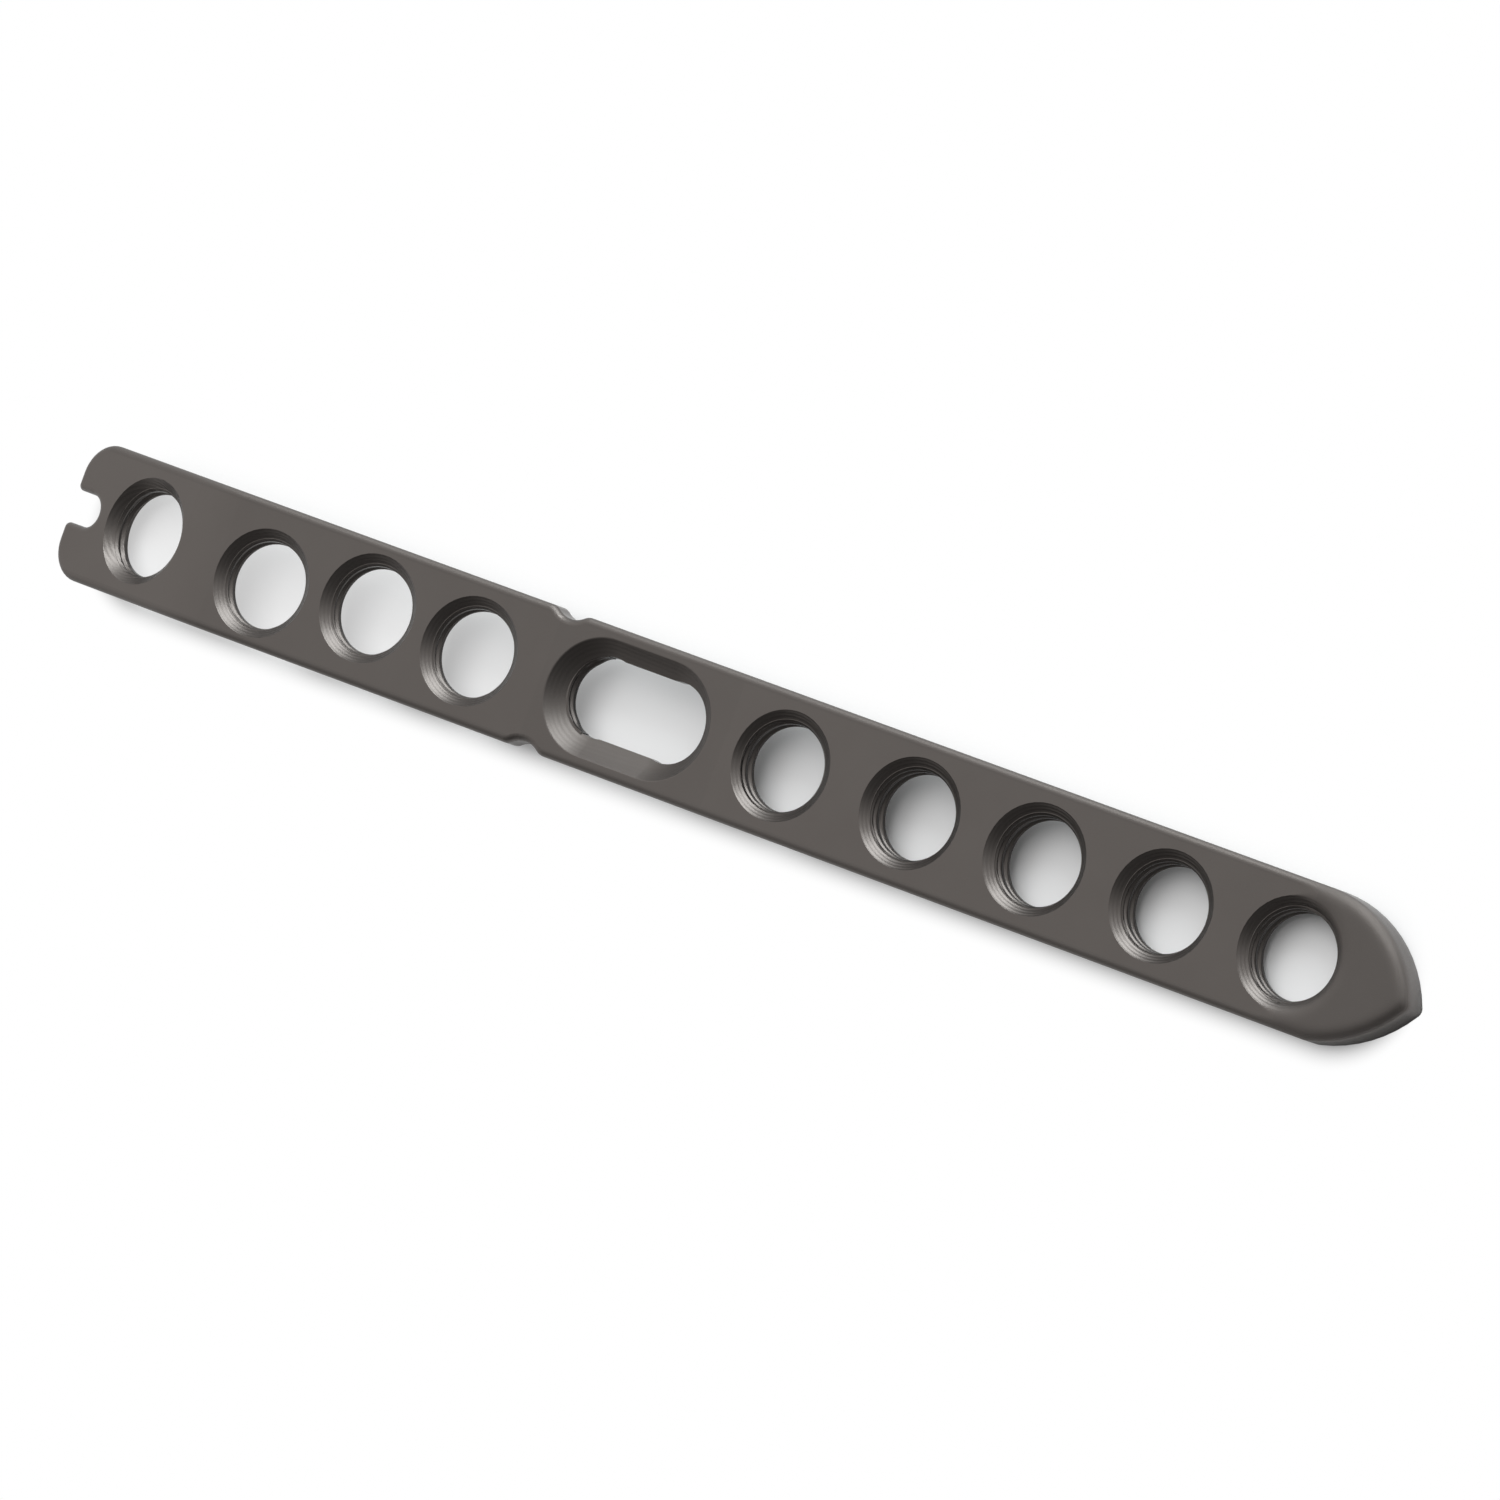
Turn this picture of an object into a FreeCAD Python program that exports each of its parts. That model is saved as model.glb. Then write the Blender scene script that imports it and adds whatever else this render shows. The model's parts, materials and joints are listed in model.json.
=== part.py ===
import FreeCAD, Part
import math
import os

V = FreeCAD.Vector

# Bone plate, in millimetres. It is drawn along X with the flat underside of its shaft at Z = 0,
# its nose towards +X and its bent end towards -X, and is set down on its lowest points at the end.
# Its long edges and its bent end are symmetrical; its nose ends a little to the -Y side.

# Body: one width, a thin head on the left that thickens into the shaft on the right.
plate_width = 11.05
head_thickness = 2.3
shaft_thickness = 3.1
ramp_start = -19.0
ramp_end = 20.0
top_round = 0.5
under_round = 0.3

# Nose: a long arc that leaves one edge smoothly, a shorter one that leaves the other at a slight angle,
# and the crisp tip where they meet, a little off the centre line.
nose_tip_x = 60.52
nose_tip_y = -0.8
nose_run = 8.97
nose_far_run = 6.97
nose_far_arc_r = 10.8
nose_tip_r = 0.7
nose_shoulder_r = 2.0

# Waist: a shallow scallop in each long edge, with soft shoulders.
waist_x = -16.3
waist_depth = 0.6
waist_r = 2.0
waist_shoulder_r = 1.0

# Bent end: the plate turns down over a short arc and runs on flat to a notched end.
bend_x = -47.1
bend_angle = 14.0
bend_under_r = 14.8
end_length = 13.0
end_corner_r = 2.8
notch_width = 2.6
notch_depth = 3.15
notch_lip_r = 0.4

# Round holes: a cone leads down to a cylinder, which is the root of the locking thread.
rim_r = 4.24
bore_r = 3.6
cone_depth = 0.62
bore_chamfer = 0.25
end_hole_x = -4.3
head_hole_x = -23.45
head_pitch = 9.68
head_offsets = (0.0, 0.4, -0.6)
shaft_hole_x = 5.33
shaft_first_gap = 11.8
shaft_pitch = 11.05
shaft_pitch_holes = 4

# Slot: two round ends and a slightly narrower channel go through, under a travelling spherical seat.
slot_x = -8.4
slot_y = 0.2
slot_end_r = 3.15
slot_end_offset = 3.15
slot_channel_half = 3.05
slot_under_break = 0.2
seat_x = -8.75
seat_side_land = 0.905
seat_depth = 1.02
seat_travel = 2.75
seat_rim_round = 0.15

half_width = plate_width / 2
seat_rim_half = half_width - seat_side_land
bend = math.radians(bend_angle)
cutter_height = 40.0


def arc(centre_a, centre_b, radius, start, end, point):
    """Arc about a centre from one angle to another, in degrees; point turns (a, b) into a vector."""
    pts = []
    for angle in (start, (start + end) / 2, end):
        turn = math.radians(angle)
        pts.append(point(centre_a + radius * math.cos(turn), centre_b + radius * math.sin(turn)))
    return Part.Arc(*pts).toShape()


def side(x, z):
    return V(x, 0, z)


def across(y, z):
    return V(0, y, z)


def plan(x, y):
    return V(x, y, -cutter_height / 2)


def line(a, b):
    return Part.makeLine(a, b)


def top_height(x):
    """Height of the top face above the underside, on the straight part of the plate."""
    if x < (ramp_start + ramp_end) / 2:
        return head_thickness + ramp_r - math.sqrt(ramp_r ** 2 - max(x - ramp_start, 0) ** 2)
    return shaft_thickness - ramp_r + math.sqrt(ramp_r ** 2 - min(x - ramp_end, 0) ** 2)


# Side view: underside, bend, flat end, top of the head, ramp in two large arcs, top of the shaft.
bend_top_r = bend_under_r + head_thickness
end_under = (bend_x - bend_under_r * math.sin(bend), bend_under_r * (math.cos(bend) - 1))
end_top = (end_under[0] - head_thickness * math.sin(bend), end_under[1] + head_thickness * math.cos(bend))
far_step = (-2 * end_length * math.cos(bend), -2 * end_length * math.sin(bend))
far_under = (end_under[0] + far_step[0], end_under[1] + far_step[1])
far_top = (end_top[0] + far_step[0], end_top[1] + far_step[1])
beyond_nose = nose_tip_x + plate_width
ramp_rise = shaft_thickness - head_thickness
ramp_run = ramp_end - ramp_start
ramp_r = (ramp_run ** 2 + ramp_rise ** 2) / (4 * ramp_rise)
ramp_turn = math.degrees(math.asin(ramp_run / 2 / ramp_r))
profile = Part.Wire([
    line(side(beyond_nose, 0), side(bend_x, 0)),
    arc(bend_x, -bend_under_r, bend_under_r, 90, 90 + bend_angle, side),
    line(side(*end_under), side(*far_under)),
    line(side(*far_under), side(*far_top)),
    line(side(*far_top), side(*end_top)),
    arc(bend_x, -bend_under_r, bend_top_r, 90 + bend_angle, 90, side),
    line(side(bend_x, head_thickness), side(ramp_start, head_thickness)),
    arc(ramp_start, head_thickness + ramp_r, ramp_r, -90, -90 + ramp_turn, side),
    arc(ramp_end, shaft_thickness - ramp_r, ramp_r, 90 + ramp_turn, 90, side),
    line(side(ramp_end, shaft_thickness), side(beyond_nose, shaft_thickness)),
    line(side(beyond_nose, shaft_thickness), side(beyond_nose, 0)),
])
body = Part.Face(profile).extrude(V(0, 2 * plate_width, 0))
body.translate(V(0, -plate_width, 0))


def bowed(a, b, radius):
    """Arc from one point of the plan to another, bowed out to its right."""
    chord = b - a
    rise = radius - math.sqrt(radius ** 2 - (chord.Length / 2) ** 2)
    right = V(chord.y, -chord.x, 0).normalize()
    return Part.Arc(a, (a + b) / 2 + right * rise, b).toShape()


# Plan view: a long edge with its scallop, the same edge mirrored, the two nose arcs.
scallop_y = half_width - waist_depth + waist_r
shoulder_y = half_width - waist_shoulder_r
shoulder_dx = math.sqrt((waist_r + waist_shoulder_r) ** 2 - (scallop_y - shoulder_y) ** 2)
shoulder_turn = math.degrees(math.asin((scallop_y - shoulder_y) / (waist_r + waist_shoulder_r)))
far_left = bend_x - 4 * end_length
long_edge = [
    line(plan(far_left, half_width), plan(waist_x - shoulder_dx, half_width)),
    arc(waist_x - shoulder_dx, shoulder_y, waist_shoulder_r, 90, shoulder_turn, plan),
    arc(waist_x, scallop_y, waist_r, shoulder_turn - 180, -shoulder_turn, plan),
    arc(waist_x + shoulder_dx, shoulder_y, waist_shoulder_r, 180 - shoulder_turn, 90, plan),
]
far_long_edge = [edge.mirror(V(0, 0, 0), V(0, 1, 0)) for edge in reversed(long_edge)]
nose_drop = half_width - nose_tip_y
nose_arc_r = (nose_run ** 2 + nose_drop ** 2) / (2 * nose_drop)
nose_start = nose_tip_x - nose_run
nose_turn = math.degrees(math.acos(nose_run / nose_arc_r))
tip = plan(nose_tip_x, nose_tip_y)
far_shoulder = plan(nose_tip_x - nose_far_run, -half_width)
outline = Part.Wire([
    line(plan(far_left, -half_width), plan(far_left, half_width)),
    *long_edge,
    line(plan(waist_x + shoulder_dx, half_width), plan(nose_start, half_width)),
    arc(nose_start, half_width - nose_arc_r, nose_arc_r, 90, nose_turn, plan),
    bowed(far_shoulder, tip, nose_far_arc_r),
    line(far_shoulder, plan(waist_x + shoulder_dx, -half_width)),
    *far_long_edge,
])
body = body.common(Part.Face(outline).extrude(V(0, 0, cutter_height)))
for radius, corner in ((nose_tip_r, tip), (nose_shoulder_r, far_shoulder)):
    upright = [edge for edge in body.Edges if math.hypot(edge.CenterOfMass.x - corner.x,
                                                         edge.CenterOfMass.y - corner.y) < 1e-6]
    body = body.makeFillet(radius, upright)
nose_end = body.optimalBoundingBox().XMax


def onto_bent_end(shape):
    """Moves what was drawn leftwards from X = 0, with its underside at Z = 0, onto the bent end."""
    shape.rotate(V(0, 0, 0), V(0, 1, 0), -bend_angle)
    shape.translate(V(end_under[0], 0, end_under[1]))
    return shape


# Bent end: the waste around its round corner and its round-bottomed notch with a soft lip.
notch_r = notch_width / 2
notch_x = notch_depth - notch_r - end_length
lip_x = notch_lip_r - end_length
lip_y = notch_r + notch_lip_r
corner_x = end_corner_r - end_length
corner_y = half_width - end_corner_r
waste_x = -2 * end_length
waste = Part.Wire([
    arc(notch_x, 0, notch_r, 0, 90, plan),
    line(plan(notch_x, notch_r), plan(lip_x, notch_r)),
    arc(lip_x, lip_y, notch_lip_r, 270, 180, plan),
    line(plan(-end_length, lip_y), plan(-end_length, corner_y)),
    arc(corner_x, corner_y, end_corner_r, 180, 90, plan),
    line(plan(corner_x, half_width), plan(corner_x, plate_width)),
    line(plan(corner_x, plate_width), plan(waste_x, plate_width)),
    line(plan(waste_x, plate_width), plan(waste_x, 0)),
    line(plan(waste_x, 0), plan(notch_x + notch_r, 0)),
])
waste = onto_bent_end(Part.Face(waste).extrude(V(0, 0, cutter_height)))
body = body.cut([waste, waste.mirror(V(0, 0, 0), V(0, 1, 0))])


def facing(shape, way):
    """Faces whose middle looks up (way 1) or down (way -1)."""
    found = []
    for face in shape.Faces:
        u0, u1, v0, v1 = face.ParameterRange
        if way * face.normalAt((u0 + u1) / 2, (v0 + v1) / 2).z > math.cos(2 * bend):
            found.append(face)
    return found


def border(faces):
    """Edges of a run of faces that are no seam between two of them."""
    every = [edge for face in faces for edge in face.Edges]
    return [edge for edge in every if sum(edge.isSame(other) for other in every) == 1]


# Edge rounds: larger on top, small below.
plate = body.makeFillet(top_round, border(facing(body, 1)))
plate = plate.makeFillet(under_round, border(facing(plate, -1)))


def hole(x, y, top):
    """Cutter for one round hole: underside chamfer, cylinder and the cone up through the top face."""
    slope = (rim_r - bore_r) / cone_depth
    above = cone_depth / 2
    cone_r = rim_r + slope * above
    cone = Part.makeCone(bore_r, cone_r, cone_depth + above, V(x, y, top - cone_depth))
    chamfer = Part.makeCone(bore_r + 2 * bore_chamfer, bore_r, 2 * bore_chamfer, V(x, y, -bore_chamfer))
    wall = Part.makeCylinder(bore_r, top + bore_chamfer, V(x, y, -bore_chamfer))
    return wall.fuse([cone, chamfer])


holes = [onto_bent_end(hole(end_hole_x, 0, head_thickness))]
for index, offset in enumerate(head_offsets):
    x = head_hole_x - index * head_pitch
    holes.append(hole(x, offset, top_height(x)))
shaft_xs = [shaft_hole_x]
for index in range(shaft_pitch_holes):
    shaft_xs.append(shaft_hole_x + shaft_first_gap + index * shaft_pitch)
for x in shaft_xs:
    holes.append(hole(x, 0, top_height(x)))
plate = plate.cut(holes)

# Slot: the seat is a spherical cap that travels along the slope of the top face. Its sphere passes
# through its rim and, at the stated depth, through the radius of the round ends.
seat_above = (seat_rim_half ** 2 - slot_end_r ** 2 - seat_depth ** 2) / (2 * seat_depth)
seat_r = math.hypot(seat_rim_half, seat_above)
seat_start = V(seat_x - seat_travel, 0, top_height(seat_x - seat_travel))
seat_end = V(seat_x + seat_travel, 0, top_height(seat_x + seat_travel))
seat_slope = math.degrees(math.atan2(seat_end.z - seat_start.z, seat_end.x - seat_start.x))
over = seat_depth
lip = math.degrees(math.asin((over - seat_above) / seat_r))
lip_r = seat_r * math.cos(math.radians(lip))
cap = Part.Wire([
    arc(0, seat_above, seat_r, -90, lip, side),
    line(side(lip_r, over), side(0, over)),
    line(side(0, over), side(0, seat_above - seat_r)),
])
trough = Part.Wire([
    arc(0, seat_above, seat_r, -180 - lip, lip, across),
    line(across(lip_r, over), across(-lip_r, over)),
])
seat_run = (seat_end - seat_start).Length
cap = Part.Face(cap).revolve(V(0, 0, 0), V(0, 0, 1), 360)
far_cap = cap.copy()
far_cap.translate(V(seat_run, 0, 0))
seat = Part.Face(trough).extrude(V(seat_run, 0, 0)).fuse([cap, far_cap])
seat.rotate(V(0, 0, 0), V(0, 1, 0), -seat_slope)
seat.translate(seat_start)
channel = Part.makeBox(2 * slot_end_offset, 2 * slot_channel_half, cutter_height,
                       plan(slot_x - slot_end_offset, slot_y - slot_channel_half))
for sign in (-1, 1):
    end = Part.makeCylinder(slot_end_r, cutter_height, plan(slot_x + sign * slot_end_offset, slot_y))
    channel = channel.fuse(end)
plate = plate.cut(channel.removeSplitter().fuse(seat))


def slot_edges(shape, low, high):
    """Edges around the slot whose heights all lie between two values."""
    found = []
    for edge in shape.Edges:
        box = edge.BoundBox
        along = abs(box.Center.x - slot_x) < slot_end_offset + slot_end_r
        inside = max(box.YMax, -box.YMin) < half_width - top_round - 1e-6
        if along and inside and low < box.ZMin and box.ZMax < high:
            found.append(edge)
    return found


plate = plate.makeFillet(seat_rim_round, slot_edges(plate, head_thickness - seat_rim_round, shaft_thickness))
plate = plate.makeChamfer(slot_under_break, slot_edges(plate, -1e-3, 1e-3))

# Setting down: the plate turns about Y until the rounds under its end and its nose are equally low.
left = onto_bent_end(Part.Vertex(under_round - end_length, 0, under_round)).Point
right = V(nose_end - under_round, 0, under_round)
tilt = math.atan2(right.z - left.z, right.x - left.x)
plate.rotate(V(0, 0, 0), V(0, 1, 0), math.degrees(tilt))
low = right.z * math.cos(tilt) - right.x * math.sin(tilt) - under_round
middle = plate.optimalBoundingBox().Center.x
plate.translate(V(-middle, 0, -low))

os.makedirs("parts", exist_ok=True)
plate.Solids[0].exportStep("parts/bone_plate.step")
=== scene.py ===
import json
import math

import bmesh
import bpy
from mathutils import Matrix, Vector


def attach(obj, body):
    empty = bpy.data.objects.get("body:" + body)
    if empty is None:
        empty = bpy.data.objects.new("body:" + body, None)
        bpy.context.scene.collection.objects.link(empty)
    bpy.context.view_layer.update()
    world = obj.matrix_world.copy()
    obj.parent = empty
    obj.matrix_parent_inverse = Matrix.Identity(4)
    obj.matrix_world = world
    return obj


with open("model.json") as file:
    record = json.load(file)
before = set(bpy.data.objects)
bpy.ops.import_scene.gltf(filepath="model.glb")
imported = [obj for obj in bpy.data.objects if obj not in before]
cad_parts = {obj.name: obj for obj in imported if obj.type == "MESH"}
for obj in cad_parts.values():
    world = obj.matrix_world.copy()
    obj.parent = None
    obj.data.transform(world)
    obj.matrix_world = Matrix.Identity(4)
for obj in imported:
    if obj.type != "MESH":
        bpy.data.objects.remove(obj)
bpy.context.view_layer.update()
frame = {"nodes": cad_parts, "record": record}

# Plate: one milled and bent strip of titanium alloy, thin at its head and thicker along its shaft.
# It is blasted to an even satin and then anodised to a dark warm grey. Painted shade darkens the steep
# walls of its round holes and, less, the sloped walls of its slot. Its solid is shown as it was
# modelled, with this finish on it.

grey_tones = (0.124, 0.1135, 0.108, 1), (0.139, 0.129, 0.122, 1)
# Painted shade: the dark tone that steep hole walls and the slot's sloped walls are blended towards.
painted_shade_tone = (0.024, 0.0222, 0.0213, 1)
tone_scale, grain_scale = 260.0, 9000.0
openings_reach = 0.0049  # from the middle line, in metres like every length here
last_hole_end = 0.0525
slot_middle, slot_reach = -0.0066, 0.0085
nose_start, nose_full = 0.05, 0.054
flat_start, flat_full = 0.8, 0.95  # how level a surface is: 0 upright, 1 flat
steep_full, steep_end = 0.15, 0.5
painted_steep_shade, painted_seat_shade = 0.75, 0.2
upright_rough, sloped_rough, slope_turn = 0.22, 0.5, 1.4
tone_rough, grain_rough = 0.05, 0.06
opening_polish, slot_polish, nose_wear = 0.11, 0.5, 0.08
square_to_faces = (0.0286, 0, 0.9996)
turning_pitch, turning_height, slot_turning = 0.00021, 0.9, 0.3
bump_strength, bump_depth = 0.25, 0.00002
nose_softness = 0.0015


class Term:
    """A value in a tree of nodes. Arithmetic on it adds Math nodes to that tree."""

    def __init__(self, making, socket):
        self.making = making
        self.socket = socket

    def __add__(self, other):
        return self.making.maths("ADD", self, other)

    def __sub__(self, other):
        return self.making.maths("SUBTRACT", self, other)

    def __rsub__(self, other):
        return self.making.maths("SUBTRACT", other, self)

    def __mul__(self, other):
        return self.making.maths("MULTIPLY", self, other)

    __radd__ = __add__
    __rmul__ = __mul__


class Making:
    """A tree of nodes under making: each call of node adds one node and wires it up."""

    def __init__(self, tree):
        self.tree = tree
        tree.nodes.clear()

    def node(self, kind, settings=None, sockets=None, out=0):
        made = self.tree.nodes.new(kind)
        for name, value in (settings or {}).items():
            setattr(made, name, value)
        for name, value in (sockets or {}).items():
            if isinstance(value, Term):
                self.tree.links.new(value.socket, made.inputs[name])
            else:
                made.inputs[name].default_value = value
        return Term(self, made.outputs[out]) if made.outputs else made

    def maths(self, operation, *values):
        return self.node("ShaderNodeMath", {"operation": operation}, dict(enumerate(values)))

    def eased(self, value, start, end, low, high):
        """What goes smoothly from low to high while the value goes from start to end."""
        return self.node("ShaderNodeMapRange", {"interpolation_type": "SMOOTHSTEP"},
                         {"Value": value, "From Min": start, "From Max": end,
                          "To Min": low, "To Max": high})

    def blended(self, share, first, second):
        """A colour on the way from the first to the second."""
        first_colour, second_colour, result = 6, 7, 2
        return self.node("ShaderNodeMix", {"data_type": "RGBA"},
                         {"Factor": share, first_colour: first, second_colour: second}, result)

    def part(self, vector, letter):
        """One of a vector's three numbers."""
        return self.node("ShaderNodeSeparateXYZ", {}, {0: vector}, letter)

    def reach(self, vector, way):
        """How far a vector goes along a way."""
        return self.node("ShaderNodeVectorMath", {"operation": "DOT_PRODUCT"},
                         {0: vector, 1: way}, "Value")


titanium = bpy.data.materials.new("anodised_titanium")
titanium.use_nodes = True
finish = Making(titanium.node_tree)
place = finish.node("ShaderNodeTexCoord", out="Object")
facing = finish.node("ShaderNodeTexCoord", out="Normal")
grain = finish.node("ShaderNodeTexNoise", {}, {"Vector": place, "Scale": grain_scale, "Detail": 3.0})
tone = finish.node("ShaderNodeTexNoise", {}, {"Vector": place, "Scale": tone_scale, "Detail": 4.0})
level = finish.maths("ABSOLUTE", finish.part(facing, "Z"))
length = finish.part(place, "X")
across = finish.maths("ABSOLUTE", finish.part(place, "Y"))
inside = finish.maths("LESS_THAN", across, openings_reach)
holes = inside * finish.maths("LESS_THAN", length, last_hole_end)
from_slot = finish.maths("ABSOLUTE", length - slot_middle)
slot = finish.maths("LESS_THAN", from_slot, slot_reach)
nose = finish.eased(length, nose_start, nose_full, 0.0, 1.0)
cuts = finish.eased(level, flat_start, flat_full, 1.0, 0.0)
# Painted shade: steep walls in the round holes, and sloped walls in the slot, turn darker in colour.
painted_wall_shade = finish.eased(level, steep_full, steep_end, painted_steep_shade, 0.0)
colour = finish.blended(painted_wall_shade * holes + painted_seat_shade * cuts * slot * inside,
                        finish.blended(tone, *grey_tones), painted_shade_tone)
rough = upright_rough + sloped_rough * level * (slope_turn - level)
rough = rough + tone_rough * tone + grain_rough * grain
rough = rough - opening_polish * holes * (1 - slot_polish * slot) + nose_wear * nose
turns = finish.reach(place, square_to_faces) * (math.tau / turning_pitch)
turned = finish.maths("SINE", turns) * cuts * inside * (turning_height - slot_turning * slot)
softened = finish.node("ShaderNodeBevel", {"samples": 8}, {"Radius": nose_softness * nose})
bump = finish.node("ShaderNodeBump", {}, {"Strength": bump_strength, "Distance": bump_depth,
                                          "Height": grain + turned, "Normal": softened})
metal = finish.node("ShaderNodeBsdfPrincipled", {},
                    {"Base Color": colour, "Metallic": 1.0, "Roughness": rough, "Normal": bump})
finish.node("ShaderNodeOutputMaterial", {}, {"Surface": metal})

plate = frame["nodes"]["bone_plate"]
plate.data.materials.clear()
plate.data.materials.append(titanium)

# Threads: a locking thread cut in the wall of each round hole, and a short one in the slot's left end.
# The crests grow out of the wall below the cone and run out again above the underside.
# One rule makes them all: the wall is unrolled, raised along the helix and rolled up again.

thread_sizes = {"Pitch": 0.0009, "Phase": 0.4, "First Crest": 0.00016, "Crest Height": 0.00034,
                "Taper": 0.08, "Groove Depth": 0.00024, "Crest Top": 0.3, "Run In": 0.8,
                "Run Out": 1.1, "End Fade": 2.5, "Clearance": 0.00004, "Sink": 0.00012}
thread_steps = {"Around": 96, "Down": 40}
slot_end_radius = 0.00315
slot_thread = {"radius": slot_end_radius, "height": 0.00115, "start": math.radians(105),
               "sweep": math.radians(150), "ring": 0.0}
slot_thread_rise = 0.0001
weld_distance = 1e-7
crease_angle = math.radians(50)

thread_tree = bpy.data.node_groups.new("locking_thread", "GeometryNodeTree")
rules = thread_tree.interface
rules.new_socket("Walls", in_out="INPUT", socket_type="NodeSocketGeometry")
for name in thread_steps:
    rules.new_socket(name, in_out="INPUT", socket_type="NodeSocketInt")
for name in thread_sizes:
    rules.new_socket(name, in_out="INPUT", socket_type="NodeSocketFloat")
rules.new_socket("Finish", in_out="INPUT", socket_type="NodeSocketMaterial")
rules.new_socket("Threads", in_out="OUTPUT", socket_type="NodeSocketGeometry")
thread = Making(thread_tree)


def given(name):
    """An input of the tree."""
    return thread.node("NodeGroupInput", out=name)


def of_wall(name, kind="FLOAT"):
    """What a wall's own point says about it. Its ring is one where the thread goes all the way round."""
    return thread.node("GeometryNodeInputNamedAttribute", {"data_type": kind}, {"Name": name})


# The unrolled wall is a grid of one by one. Its rows go down the front, up the back and over the top
# to the first row again, so that a rolled wall is a closed shell, with two rows at its back.
down = given("Down")
between_back_rows = down + 1.5
last_row = down + 3
nearly_one = 0.9
grid = thread.node("GeometryNodeMeshGrid", {}, {"Size X": 1.0, "Size Y": 1.0, "Vertices Y": last_row + 1,
                                                "Vertices X": given("Around") + 1})
here = thread.node("GeometryNodeInputPosition")
marked = thread.node("GeometryNodeStoreNamedAttribute", {"data_type": "FLOAT_VECTOR"},
                     {"Geometry": grid, "Name": "unrolled", "Value": here})
placed = thread.node("GeometryNodeInstanceOnPoints", {}, {"Points": given("Walls"), "Instance": marked})
loose = thread.node("GeometryNodeRealizeInstances", {}, {"Geometry": placed})
unrolled = of_wall("unrolled", "FLOAT_VECTOR")
centre = thread.node("ShaderNodeVectorMath", {"operation": "SUBTRACT"}, {0: here, 1: unrolled})
along = thread.part(unrolled, "X") + 0.5
row = (thread.part(unrolled, "Y") + 0.5) * last_row
at_back = thread.maths("COMPARE", row, between_back_rows, nearly_one)
going_down = thread.maths("LESS_THAN", row, between_back_rows)
front_row = thread.maths("MINIMUM", row * going_down, down)
depth = front_row * thread.maths("DIVIDE", 1, down) * of_wall("height")
rise = of_wall("height") - depth
angle = of_wall("start") + along * of_wall("sweep")

winding = angle * (1 / math.tau) - thread.maths("DIVIDE", rise, given("Pitch")) + given("Phase")
swing = thread.maths("ABSOLUTE", thread.maths("FRACT", winding) * 2 - 1)
crest = thread.eased(swing, given("Crest Top"), 1.0, 1.0, 0.0)
ridge = thread.maths("MINIMUM", depth * given("Taper") + given("First Crest"), given("Crest Height"))
ridge = ridge - given("Groove Depth") * (1 - crest)
running = thread.maths("MINIMUM", depth * given("Run In"), rise * given("Run Out"))
from_end = thread.maths("MINIMUM", along, 1 - along) * of_wall("sweep")
ending = thread.maths("MINIMUM", from_end * given("End Fade") + of_wall("ring"), 1)
ridge = thread.maths("MAXIMUM", thread.maths("MINIMUM", ridge, running) * ending, 0)

radius = of_wall("radius") - (1 - at_back) * (ridge + given("Clearance")) + at_back * given("Sink")
spoke = thread.node("ShaderNodeCombineXYZ", {}, {"X": radius * thread.maths("COSINE", angle),
                                                 "Y": radius * thread.maths("SINE", angle),
                                                 "Z": 0 - depth})
leaning = thread.node("ShaderNodeVectorRotate", {"rotation_type": "Y_AXIS"},
                      {"Vector": spoke, "Angle": of_wall("lean")})
rolled_place = thread.node("ShaderNodeVectorMath", {"operation": "ADD"}, {0: centre, 1: leaning})
rolled = thread.node("GeometryNodeSetPosition", {}, {"Geometry": loose, "Position": rolled_place})
real = thread.node("GeometryNodeRealizeInstances", {}, {"Geometry": rolled})
coloured = thread.node("GeometryNodeSetMaterial", {}, {"Geometry": real, "Material": given("Finish")})
thread.node("NodeGroupOutput", {}, {0: coloured})

walls = []
for mount in frame["record"]["mounts"]:
    middle = Vector(mount["pos_m"])
    axis = Vector(mount["axis"])
    lean = math.atan2(axis.x, axis.z)
    if mount["kind"] == "threaded_hole":
        height = mount["dims"]["length_mm"] / 1000
        walls.append({"at": middle + axis * height / 2, "lean": lean, "height": height,
                      "radius": mount["dims"]["r_mm"] / 1000,
                      "start": 0.0, "sweep": math.tau, "ring": 1.0})
    if mount["name"] == "screw_slot":
        leftwards = Vector((-math.cos(lean), 0, math.sin(lean)))
        walls.append({"at": middle + leftwards * slot_end_radius + axis * slot_thread_rise,
                      "lean": lean, **slot_thread})
wall_facts = [name for name in walls[0] if name != "at"]
wall_mesh = bpy.data.meshes.new("walls")
wall_mesh.from_pydata([wall["at"] for wall in walls], [], [])
for name in wall_facts:
    layer = wall_mesh.attributes.new(name, "FLOAT", "POINT")
    layer.data.foreach_set("value", [wall[name] for wall in walls])
threads = bpy.data.objects.new("threads", wall_mesh)
bpy.context.scene.collection.objects.link(threads)
modifier = threads.modifiers.new("locking_thread", "NODES")
modifier.node_group = thread_tree
for name, value in {**thread_steps, **thread_sizes, "Finish": titanium}.items():
    modifier[rules.items_tree[name].identifier] = value
baked = bpy.data.meshes.new_from_object(threads.evaluated_get(bpy.context.evaluated_depsgraph_get()))
threads.modifiers.clear()
shell = bmesh.new()
shell.from_mesh(baked)
bmesh.ops.remove_doubles(shell, verts=shell.verts, dist=weld_distance)
bmesh.ops.holes_fill(shell, edges=shell.edges)
bmesh.ops.recalc_face_normals(shell, faces=shell.faces)
shell.to_mesh(baked)
shell.free()
for name in (*wall_facts, "unrolled"):
    baked.attributes.remove(baked.attributes[name])
baked.shade_smooth()
baked.set_sharp_from_angle(angle=crease_angle)
threads.data = baked
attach(threads, "root")

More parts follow.
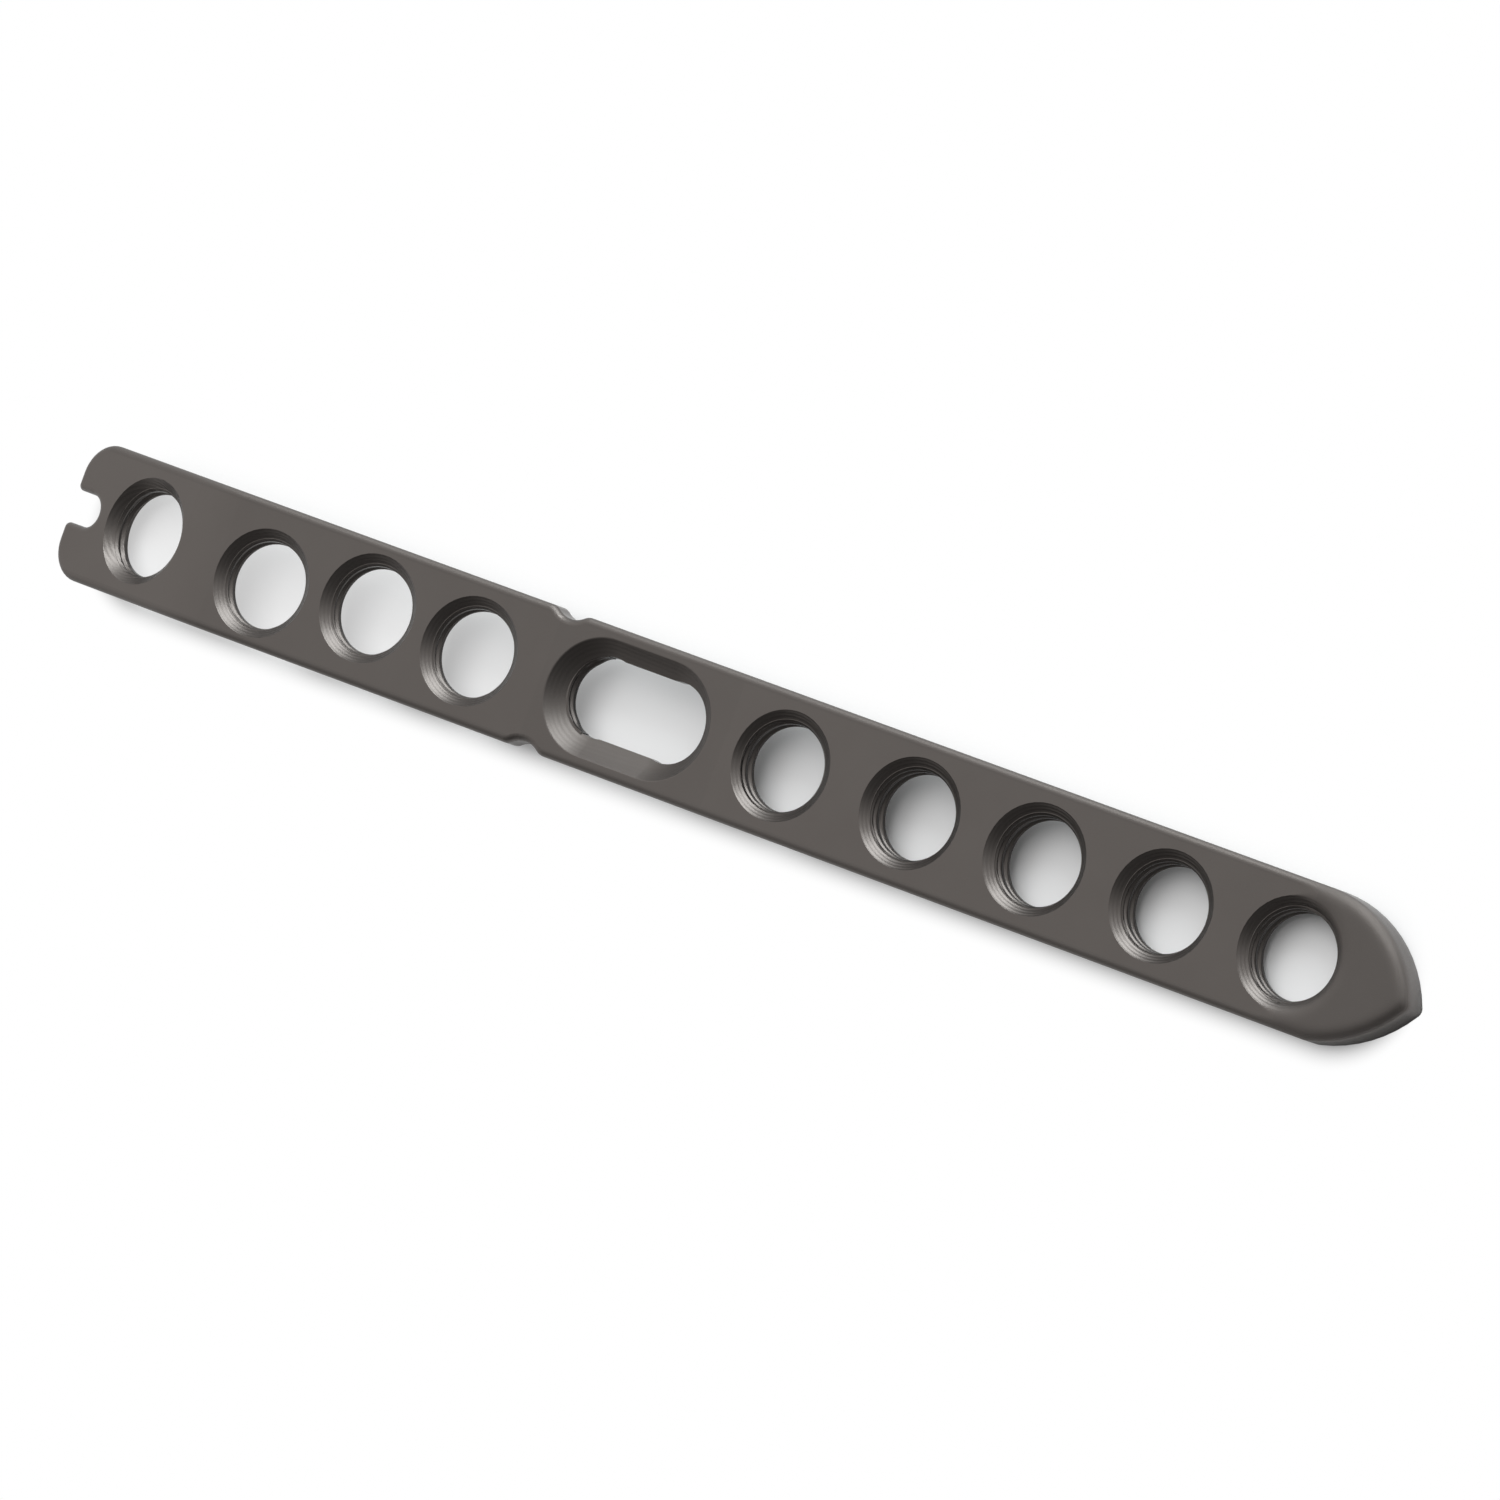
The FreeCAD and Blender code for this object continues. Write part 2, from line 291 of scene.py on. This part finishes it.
# Floor: a plain pale sheet that the plate lies on, with the soft shadow under the plate.
# Where it is seen, a painted white glow lifts it: fully away from the plate, which paints light over the
# outer part of the plate's shadow, and partly towards the plate's left end, a painted pool of light
# under the head. In reflections the painted glow starts farther out on the plate's near side, so the
# shadow there reaches farther out.

paper_colour = (0.82, 0.82, 0.82, 1)
floor_half = 4.0
plate_straight, plate_half = 0.0545, 0.0055
near_side_start, near_side_full, near_side_reach = 0.0025, -0.0015, 0.005
white_start, white_full = -0.0012, 0.002
# Where the painted light under the plate's left end starts and is fullest, and how strong it gets.
left_start, left_full = 0.005, -0.045
least_painted_light, most_painted_light = 0.03, 0.5


def in_sight(making):
    """One for a ray that is seen, straight or in a reflection, and zero for one that only lights."""
    seen = 0.0
    for name in ("Is Camera Ray", "Is Glossy Ray", "Is Transmission Ray"):
        seen = making.maths("MAXIMUM", seen, making.node("ShaderNodeLightPath", out=name))
    return seen


paper = bpy.data.materials.new("pale_paper")
paper.use_nodes = True
ground = Making(paper.node_tree)
spot = ground.node("ShaderNodeTexCoord", out="Object")
spot_length = ground.part(spot, "X")
spot_across = ground.part(spot, "Y")
past_end = ground.maths("ABSOLUTE", spot_length) - plate_straight
past_end = ground.maths("MAXIMUM", past_end, 0.0)
beside = ground.maths("SQRT", past_end * past_end + spot_across * spot_across) - plate_half
near_side = ground.eased(spot_across, near_side_start, near_side_full, 0.0, near_side_reach)
# In reflections the painted glow starts farther out on the plate's near side, which paints its shadow
# farther out.
beside = beside - near_side * ground.node("ShaderNodeLightPath", out="Is Glossy Ray")
clear = ground.eased(beside, white_start, white_full, 0.0, 1.0)
# Painted light: the glow also lifts the floor towards the plate's left end, under its head.
painted_light_left = ground.eased(spot_length, left_start, left_full, least_painted_light, most_painted_light)
painted_glow_share = in_sight(ground) * ground.maths("MAXIMUM", clear, painted_light_left)
sheet = ground.node("ShaderNodeBsdfDiffuse", {}, {"Color": paper_colour})
# Painted glow: white emission mixed into the sheet where it is seen.
painted_glow = ground.node("ShaderNodeEmission", {}, {"Color": (1, 1, 1, 1), "Strength": 1.0})
face = ground.node("ShaderNodeMixShader", {}, {0: painted_glow_share, 1: sheet, 2: painted_glow})
ground.node("ShaderNodeOutputMaterial", {}, {"Surface": face})

floor_mesh = bpy.data.meshes.new("floor")
floor_mesh.from_pydata([(-floor_half, -floor_half, 0), (floor_half, -floor_half, 0),
                        (floor_half, floor_half, 0), (-floor_half, floor_half, 0)], [], [(0, 1, 2, 3)])
floor_mesh.materials.append(paper)
floor = bpy.data.objects.new("floor", floor_mesh)
bpy.context.scene.collection.objects.link(floor)

# Light: a white room with a dim corner towards the camera's lower right, one soft lamp overhead
# and one broad softbox behind the plate's far edge, a little cooler than the room.

brighter_way, middle_light, least_light = (-0.15, 0.3, 0.0), 0.32, 0.04
warm_white = (1, 0.975, 0.955, 1)
dim_corner, corner_light = (0.55, -0.75, 0.37), 0.16
corner_start, corner_full = 0.0, 0.8
cool_white = (0.94, 0.985, 1.0)

world = bpy.data.worlds.new("room")
bpy.context.scene.world = world
world.use_nodes = True
room = Making(world.node_tree)
way = room.node("ShaderNodeTexCoord", out="Generated")
light = room.maths("MAXIMUM", room.reach(way, brighter_way) + middle_light, least_light)
unseen = room.node("ShaderNodeBackground", {}, {"Color": (1, 1, 1, 1), "Strength": light})
seen_light = room.eased(room.reach(way, dim_corner), corner_start, corner_full, 1.0, corner_light)
seen = room.node("ShaderNodeBackground", {}, {"Color": warm_white, "Strength": seen_light})
both = room.node("ShaderNodeMixShader", {}, {0: in_sight(room), 1: unseen, 2: seen})
room.node("ShaderNodeOutputWorld", {}, {"Surface": both})


def lamp(name, at, width, power):
    """A soft square lamp that faces the plate."""
    data = bpy.data.lights.new(name, "AREA")
    data.shape = "RECTANGLE"
    data.size = width
    data.size_y = width
    data.energy = power
    made = bpy.data.objects.new(name, data)
    made.location = at
    made.rotation_euler = (-Vector(at)).to_track_quat("-Z", "Y").to_euler()
    bpy.context.scene.collection.objects.link(made)
    return made


over = lamp("top_softbox", at=(-0.12, 0.36, 0.84), width=0.8, power=5.8)
over.visible_glossy = False
side = lamp("side_softbox", at=(0.03, 0.88, 0.4), width=0.7, power=9.0)
side.data.color = cool_white

# Camera: a long lens, which looks down on the plate from beyond its nose. Its place and turn were
# worked out from the plate's ten openings and its outline.

camera_place = (0.417362, 0.006875, 0.702126)
camera_right = (0.807512, 0.340968, -0.481316)
camera_up = (-0.297277, 0.940040, 0.167185)
camera_back = (0.509461, 0.008080, 0.860456)

camera_data = bpy.data.cameras.new("camera")
camera_data.sensor_width = 36.0
camera_data.lens = 261.886
camera = bpy.data.objects.new("camera", camera_data)
camera_turn = Matrix((camera_right, camera_up, camera_back)).transposed()
camera.matrix_world = Matrix.Translation(camera_place) @ camera_turn.to_4x4()
bpy.context.scene.collection.objects.link(camera)
bpy.context.scene.camera = camera
bpy.context.scene.view_settings.view_transform = "Standard"
